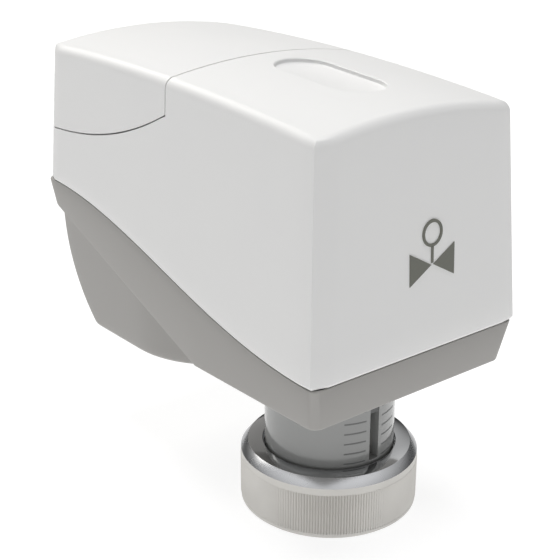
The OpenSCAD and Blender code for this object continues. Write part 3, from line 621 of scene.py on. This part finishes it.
bow = mark["halfWidth"]
rise = mark["halfHeight"]
signs = [
    flatSign([(-bow, -rise), (-0.25, 0.0), (-bow, rise)]),
    flatSign([(bow, rise), (0.25, 0.0), (bow, -rise)]),
    flatSign([(-mark["line"] / 2, 0.3), (mark["line"] / 2, 0.3), (mark["line"] / 2, mark["stem"]),
              (-mark["line"] / 2, mark["stem"])]),
    signRing(mark["stem"] + mark["dial"] - 0.1, mark["dial"], mark["line"]),
]
for sign in signs:
    sign.data.materials.clear()
    sign.data.materials.append(frontInk)
coverPiece.data.materials.clear()
coverPiece.data.materials.append(whiteHousing)
joinInto(coverPiece, signs)
finishPiece(coverPiece, "housing", None, ["main_cover"])
finishPiece(lidPiece, "lid", [whiteHousing], ["terminal_lid"])
print("front mark made")

# base with its motor pot
base = dict(
    wall=2.2,
    rim=0.3,               # step in from the cover's edge
    edgeRadius=0.5,        # rounding of the lower edge
    lip=2.15,              # inset of the lip that locates the cover
    lipThick=1.05,
    lipHeight=1.6,
    potFoot=24.6,
    potHalfWidth=20.8,
    potNoseY=37.4,
    potRear=64.2,          # rear wall of the pot above its round tail
    potTailZ=47.0,
    potTailRadius=31.5,
    potHead=57.0,
    potEdge=1.0,           # rounding of the pot's lower edge
    potCorner=1.0,         # rounding of its upright rear corners
    cornerRadius=2.0,
    boreRadius=13.16,
    screwHole=1.65,
    screwSeat=2.75,
)


def makeBand():
    rim = lambda y: base["rim"]
    lip = lambda y: base["lip"]
    lipInner = lambda y: base["lip"] + base["lipThick"]
    r = base["cornerRadius"]
    e = base["edgeRadius"]
    rings = []
    for k in range(5):
        a = math.pi / 2 * k / 4
        rings.append(housingRing(slots, r, lambda y, a=a: skirtInset(y) + e * (1 - math.sin(a)),
                                 lambda y, a=a: underHeight(y) + e * (1 - math.cos(a))))
    rings.append(housingRing(slots, r, lambda y: rim(y) + 0.12, lambda y: partHeight(y) - 0.25))
    rings.append(housingRing(slots, r, lambda y: rim(y) + 0.16, lambda y: partHeight(y) - 0.08))
    rings.append(housingRing(slots, r, lambda y: rim(y) + 0.3, lambda y: partHeight(y)))
    rings.append(housingRing(slots, r, lip, partHeight))
    rings.append(housingRing(slots, r, lip, lambda y: partHeight(y) + base["lipHeight"]))
    rings.append(housingRing(slots, r, lipInner, lambda y: partHeight(y) + base["lipHeight"]))
    rings.append(housingRing(slots, r, lambda y: skirtInset(y) + base["wall"] + 0.4,
                             lambda y: underHeight(y) + base["wall"]))
    piece = skinRings("baseBody", rings)
    # each floor is a level face and a climbing face, with a narrow one where they meet
    for ring, lift in ((rings[0], 0.0), (rings[-1], base["wall"])):
        last = max(p[1] for p in ring if p[1] < housing["climbY"])
        first = min(p[1] for p in ring if p[1] >= housing["climbY"])
        for start, end in ((-99, last), (first, 99), (last, first)):
            capWhere(piece, lambda p, a=start, b=end, c=lift:
                     abs(p.z - underHeight(p.y) - c) < 0.003 and a - 0.01 < p.y < b + 0.01)
    tidyMesh(piece)
    return piece


def potRearY(z, inset):
    drop = max(0.0, base["potTailZ"] - z)
    radius = base["potTailRadius"] - inset
    return base["potRear"] - base["potTailRadius"] + math.sqrt(max(0.0, radius ** 2 - drop ** 2))


def potRing(inset, z, corner):
    # a D-shaped ring: round nose to the front, cut off by the round tail
    half = base["potHalfWidth"] - inset + (z - base["potFoot"]) * slope * 1.3
    rear = potRearY(z, inset)
    points = []
    for k in range(33):
        a = math.pi + math.pi * k / 32
        points.append((half * math.cos(a), base["potNoseY"] + half * math.sin(a), z))
    for k in range(1, 8):
        points.append((half, base["potNoseY"] + (rear - corner - base["potNoseY"]) * k / 8, z))
    for k in range(6):
        a = math.pi / 2 * k / 5
        points.append((half - corner + corner * math.cos(a), rear - corner + corner * math.sin(a), z))
    for k in range(1, 8):
        points.append((half - corner - 2 * (half - corner) * k / 8, rear, z))
    for k in range(6):
        a = math.pi / 2 + math.pi / 2 * k / 5
        points.append((-half + corner + corner * math.cos(a), rear - corner + corner * math.sin(a), z))
    for k in range(1, 8):
        points.append((-half, rear - corner + (base["potNoseY"] - rear + corner) * k / 8, z))
    return points


def makePot(name, inset, headLift):
    foot = base["potFoot"] + inset
    edge = max(0.2, base["potEdge"] - inset / 2)
    rings = []
    for k in range(5):
        a = math.pi / 2 * k / 4
        rings.append(potRing(inset + edge * (1 - math.sin(a)), foot + edge * (1 - math.cos(a)),
                             max(0.4, base["potCorner"] - inset / 3)))
    levels = [foot + edge + (base["potTailZ"] - foot - edge) * (k / 12) for k in range(1, 13)]
    levels.append(base["potHead"] + 3)
    for z in levels:
        rings.append(potRing(inset, z, max(0.4, base["potCorner"] - inset / 3)))
    pot = skinRings(name, rings)
    capWhere(pot, lambda p: abs(p.z - foot) < 0.001)
    # the head is cut off along the underside's slope
    choose(pot)
    bpy.ops.object.mode_set(mode="EDIT")
    bpy.ops.mesh.select_all(action="SELECT")
    climb = housing["climb"]
    bpy.ops.mesh.bisect(plane_co=(0, housing["climbY"] * mm, (housing["under"] + headLift) * mm),
                        plane_no=(0, -climb, 1), use_fill=True, clear_outer=True)
    bpy.ops.object.mode_set(mode="OBJECT")
    tidyMesh(pot)
    return pot


basePiece = makeBand()
combine(basePiece, makePot("potOuter", 0.0, 1.1), "UNION")
combine(basePiece, makePot("potInner", base["wall"], base["wall"] + 0.2), "DIFFERENCE")
combine(basePiece, roundTool("boreTool", 0, 0, housing["under"], base["boreRadius"], 20, sides=128),
        "DIFFERENCE")
coverScrewLow, coverScrewHigh = (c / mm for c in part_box("cover_screws"))
coverScrewX = coverScrewHigh.x - 2.6
coverScrewY = (coverScrewLow.y + coverScrewHigh.y) / 2
for side in (-1, 1):
    post = roundTool("post", side * coverScrewX, coverScrewY, housing["under"] + 6, 2.7, 11.6)
    combine(basePiece, post, "UNION")
    combine(basePiece, roundTool("holeTool", side * coverScrewX, coverScrewY, housing["under"] + 6,
                                 base["screwHole"], 20), "DIFFERENCE")
    combine(basePiece, roundTool("seatTool", side * coverScrewX, coverScrewY, housing["under"] + 1.9 - 3,
                                 base["screwSeat"], 6), "DIFFERENCE")
combine(basePiece, roundTool("notchTool", 0, housing["rear"], grommetZ, 5.2, 12, "Y"), "DIFFERENCE")
finishPiece(basePiece, "housing", [greyHousing], ["base_housing"])
print("base made")

# guide column
columnLow, columnHigh = (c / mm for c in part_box("guide_column"))
column = dict(
    radius=13.1, bore=9.0, seat=columnLow.z, flangeRadius=columnHigh.x, top=columnHigh.z, flange=3.0,
    grooveFoot=1.2, grooveWidth=1.2, grooveDepth=0.8, edge=0.35,
    slotWidth=2.3, slotFoot=13.5, slotTop=30.8,
    tickFirst=13.75, tickStep=2.14, tickCount=9, tickHeight=0.3, tickFrom=9.0, tickTurn=20.3,
)


def makeColumn():
    r, bore, seat, top = column["radius"], column["bore"], column["seat"], column["top"]
    groove = seat + column["grooveFoot"]
    edge = column["edge"]
    foot = top - column["flange"]
    profile = [(bore, seat + edge), (bore + edge, seat), (r - edge, seat), (r, seat + edge), (r, groove),
               (r - column["grooveDepth"], groove),
               (r - column["grooveDepth"], groove + column["grooveWidth"]),
               (r, groove + column["grooveWidth"]), (r, foot), (column["flangeRadius"] - 0.3, foot),
               (column["flangeRadius"], foot + 0.3), (column["flangeRadius"], top), (bore, top)]
    piece = turnProfile("guideColumn", profile, 160)
    half = column["slotWidth"] / 2
    combine(piece, boxTool("slotTool", (-half, -r - 1, column["slotFoot"]), (half, -1, column["slotTop"])),
            "DIFFERENCE")
    return piece


def makeTick(z, start):
    # a short arc of ink, spun from one small face
    half = column["tickHeight"] / 2
    low, high = column["radius"] - 0.15, column["radius"] + 0.02
    a = math.radians(start)
    section = [(r * math.cos(a), r * math.sin(a), z + h) for r, h in
               ((low, -half), (high, -half), (high, half), (low, half))]
    tick = skinRings("tick", [section])
    bpy.ops.object.mode_set(mode="EDIT")
    bpy.ops.mesh.select_all(action="SELECT")
    bpy.ops.mesh.edge_face_add()
    bpy.ops.mesh.spin(steps=10, angle=-math.radians(column["tickTurn"]), center=(0, 0, 0), axis=(0, 0, 1))
    bpy.ops.object.mode_set(mode="OBJECT")
    return tick


columnPiece = makeColumn()
ticks = []
for k in range(column["tickCount"]):
    z = column["tickFirst"] + k * column["tickStep"]
    for start in (-90 - column["tickFrom"] - column["tickTurn"], -90 + column["tickFrom"]):
        ticks.append(makeTick(z, start))
for tick in ticks:
    tidyMesh(tick)
    tick.data.materials.clear()
    tick.data.materials.append(scaleInk)
columnPiece.data.materials.clear()
columnPiece.data.materials.append(columnPlastic)
joinInto(columnPiece, ticks)
finishPiece(columnPiece, "housing", None, ["guide_column"])
print("column made")

# union nut
nutLow, nutHigh = (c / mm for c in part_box("union_nut"))
nut = dict(
    radius=nutHigh.x, height=nutHigh.z, mouth=14.19, lipZ=11.2, lipBore=13.45, seatZ=8.4,
    chamferIn=1.5, chamferDown=1.7, ridges=200, ridgeDepth=0.3, ridgeFoot=1.2, ridgeHead=9.6,
    pitch=1.5, threadDepth=0.8,
)


def makeNut():
    r, h = nut["radius"], nut["height"]
    plain = r - 0.1
    valley = r - nut["ridgeDepth"]
    profile = [(nut["mouth"] + 0.5, 0.0), (r - 0.7, 0.0), (plain, 0.5), (plain, 1.0),
               (r, nut["ridgeFoot"]), (r, nut["ridgeHead"]), (plain, nut["ridgeHead"] + 0.2),
               (plain, h - nut["chamferDown"]), (r - nut["chamferIn"], h - 0.04),
               (r - nut["chamferIn"] - 0.08, h),
               (nut["lipBore"] + 0.1, h), (nut["lipBore"], h - 0.1), (nut["lipBore"], nut["lipZ"]),
               (nut["mouth"] + 0.4, nut["lipZ"]), (nut["mouth"] + 0.4, nut["seatZ"])]
    z = nut["seatZ"] - 0.2
    while z - nut["pitch"] > 0.3:
        profile += [(nut["mouth"], z), (nut["mouth"], z - 0.2), (nut["mouth"] + nut["threadDepth"], z - 0.65),
                    (nut["mouth"] + nut["threadDepth"], z - 0.85), (nut["mouth"], z - 1.3)]
        z -= nut["pitch"]
    piece = turnProfile("unionNut", profile, 2 * nut["ridges"])
    # every other line of the knurled band is drawn in to make the ridges
    step = math.pi / nut["ridges"]
    for v in piece.data.vertices:
        x, y, z = v.co / mm
        reach = math.hypot(x, y)
        if abs(reach - r) < 0.01 and round(math.atan2(y, x) / step) % 2:
            v.co.x *= valley / reach
            v.co.y *= valley / reach
    return piece


nutPiece = makeNut()
nutPiece.data.materials.clear()
for m in (satinNickel, brightNickel, turnedNickel):
    nutPiece.data.materials.append(m)
for face in nutPiece.data.polygons:
    middle = face.center / mm
    if middle.z > nut["height"] - nut["chamferDown"]:
        reach = math.hypot(middle.x, middle.y)
        face.material_index = 2 if reach > nut["radius"] - nut["chamferIn"] - 0.02 else 1
finishPiece(nutPiece, "nut", None, ["union_nut"])
print("union nut made")

# cable grommet
grommet = dict(bore=2.9, neck=4.0, flange=4.9, length=grommetHigh.y - grommetLow.y)


def makeGrommet():
    y0 = grommetLow.y
    end = grommet["length"]
    profile = [(grommet["bore"], 0.3), (grommet["bore"] + 0.3, 0),
               (grommet["flange"] - 0.3, 0), (grommet["flange"], 0.3),
               (grommet["flange"], 1.3), (grommet["flange"] - 0.3, 1.6), (grommet["neck"], 1.6),
               (grommet["neck"], end - 1.1), (grommet["flange"], end - 1.1), (grommet["flange"], end - 0.7),
               (grommet["neck"], end), (grommet["bore"] + 0.3, end), (grommet["bore"], end - 0.3)]
    return turnProfile("cableGrommet", profile, 64, origin=(0, y0, grommetZ), axis="Y")


grommetPiece = makeGrommet()
finishPiece(grommetPiece, "housing", [rubber], ["cable_grommet"])
print("grommet made")

# finishes of the CAD's own pieces
finishes = {
    "lid_screws": zincSteel, "cover_screws": zincSteel, "housing_seal": rubber, "column_screws": zincSteel,
    "nut_ring": steel, "drive_spindle": steel, "push_cap": blackPlastic, "position_pointer": blackPlastic,
    "drive_nut": brass, "spindle_gear": gearPlastic, "spindle_bush": brass, "lower_race": steel,
    "thrust_balls": steel, "upper_race": steel, "lower_plate": zincSteel, "upper_plate": zincSteel,
    "plate_pillars": steel, "plate_screws": zincSteel, "pillar_screws": zincSteel, "gear_1": gearPlastic,
    "gear_1_axle": steel, "gear_2": gearPlastic, "gear_2_axle": steel, "motor_can": zincSteel,
    "stator_coils": copperWire, "stator_core": steel, "motor_rotor": magnet, "motor_shaft": steel,
    "motor_pinion": brass, "motor_bushes": brass, "motor_screws": zincSteel, "circuit_board": boardLaminate,
    "board_posts": brass, "board_screws": zincSteel, "terminal_block": blockPlastic,
    "terminal_screws": zincSteel,
    "capacitor": bluePlastic, "varistor": bluePlastic, "motor_leads": bluePlastic, "cable_grommet": rubber,
    "base_housing": greyHousing, "main_cover": whiteHousing, "terminal_lid": whiteHousing,
    "guide_column": columnPlastic, "union_nut": satinNickel,
}
for name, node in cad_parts.items():
    node.data.materials.clear()
    node.data.materials.append(finishes[name])
print("finishes set")

# floor, light and camera
studio = dict(
    floorSize=6.0, floorColour="#8c8c8c", floorGlow=0.84, skyColour="#ffffff", sky=0.2,
    domeLow=0.08, domeHigh=1.8,  # what polished metal mirrors: a dark horizon and a bright ceiling
    overheadPower=19.5, overheadSize=1.0, overheadHeight=1.8,
    rearPower=11.5, rearPlace=(-0.1, 1.35, 1.25), rearSize=(1.2, 0.7),
)
clearSelection()
bpy.ops.mesh.primitive_plane_add(size=studio["floorSize"], location=(0, 0, 0))
floor = bpy.context.active_object
floor.name = "floor"
floorMaterial, _, floorShader, _ = startMaterial("paleMattFloor")
floorShader.inputs["Base Color"].default_value = toLinear(studio["floorColour"])
floorShader.inputs["Roughness"].default_value = 0.9
floorShader.inputs["Emission Color"].default_value = toLinear("#ffffff")
floorShader.inputs["Emission Strength"].default_value = studio["floorGlow"]  # a light table under the object
floor.data.materials.append(floorMaterial)

world = bpy.data.worlds.new("softStudio")
bpy.context.scene.world = world
world.use_nodes = True
worldTree = world.node_tree
backdrop = worldTree.nodes["Background"]
backdrop.inputs["Color"].default_value = toLinear(studio["skyColour"])
direction = addNode(worldTree, "ShaderNodeTexCoord")
parts = addNode(worldTree, "ShaderNodeSeparateXYZ", links={"Vector": direction.outputs["Generated"]})
dome = addNode(worldTree, "ShaderNodeMapRange", links={"Value": parts.outputs["Z"]},
               values={"From Min": 0.25, "From Max": 0.9,
                       "To Min": studio["domeLow"], "To Max": studio["domeHigh"]})
rayKind = addNode(worldTree, "ShaderNodeLightPath")
blend = addNode(worldTree, "ShaderNodeMix", settings={"data_type": "FLOAT"},
                links={"Factor": rayKind.outputs["Is Glossy Ray"], "B": dome.outputs["Result"]},
                values={"A": studio["sky"]})
worldTree.links.new(blend.outputs["Result"], backdrop.inputs["Strength"])


def softbox(name, place, target, size, power):
    light = bpy.data.lights.new(name, "AREA")
    light.shape = "RECTANGLE"
    light.size, light.size_y = size
    light.energy = power
    lamp = bpy.data.objects.new(name, light)
    bpy.context.scene.collection.objects.link(lamp)
    lamp.location = place
    aim = Vector(target) - Vector(place)
    lamp.rotation_euler = aim.to_track_quat("-Z", "Y").to_euler()
    return lamp


softbox("overhead", (0.0, 0.0, studio["overheadHeight"]), (0, 0.02, 0), (studio["overheadSize"],) * 2,
        studio["overheadPower"])
rear = softbox("rearGlow", studio["rearPlace"], (0, 0.02, 0.08), studio["rearSize"], studio["rearPower"])
rear.data.color = toLinear("#fffcf6")[:3]

view = dict(place=(-0.142481, -0.157488, 0.129210), down=21.197, heading=39.421, roll=0.1907, lens=75.71)
down, heading, roll = (math.radians(view[k]) for k in ("down", "heading", "roll"))
ahead = Vector((math.sin(heading) * math.cos(down), math.cos(heading) * math.cos(down), -math.sin(down)))
level = Vector((math.cos(heading), -math.sin(heading), 0))
above = level.cross(ahead)
right = level * math.cos(roll) + above * math.sin(roll)
up = above * math.cos(roll) - level * math.sin(roll)
cameraData = bpy.data.cameras.new("camera")
cameraData.sensor_width = 36
cameraData.lens = view["lens"]
cameraData.clip_start = 0.01
camera = bpy.data.objects.new("camera", cameraData)
camera.matrix_world = Matrix((
    (right.x, up.x, -ahead.x, view["place"][0]),
    (right.y, up.y, -ahead.y, view["place"][1]),
    (right.z, up.z, -ahead.z, view["place"][2]),
    (0, 0, 0, 1)))
bpy.context.scene.collection.objects.link(camera)
bpy.context.scene.camera = camera
bpy.context.scene.view_settings.view_transform = "Standard"
print("studio set")

clearSelection()
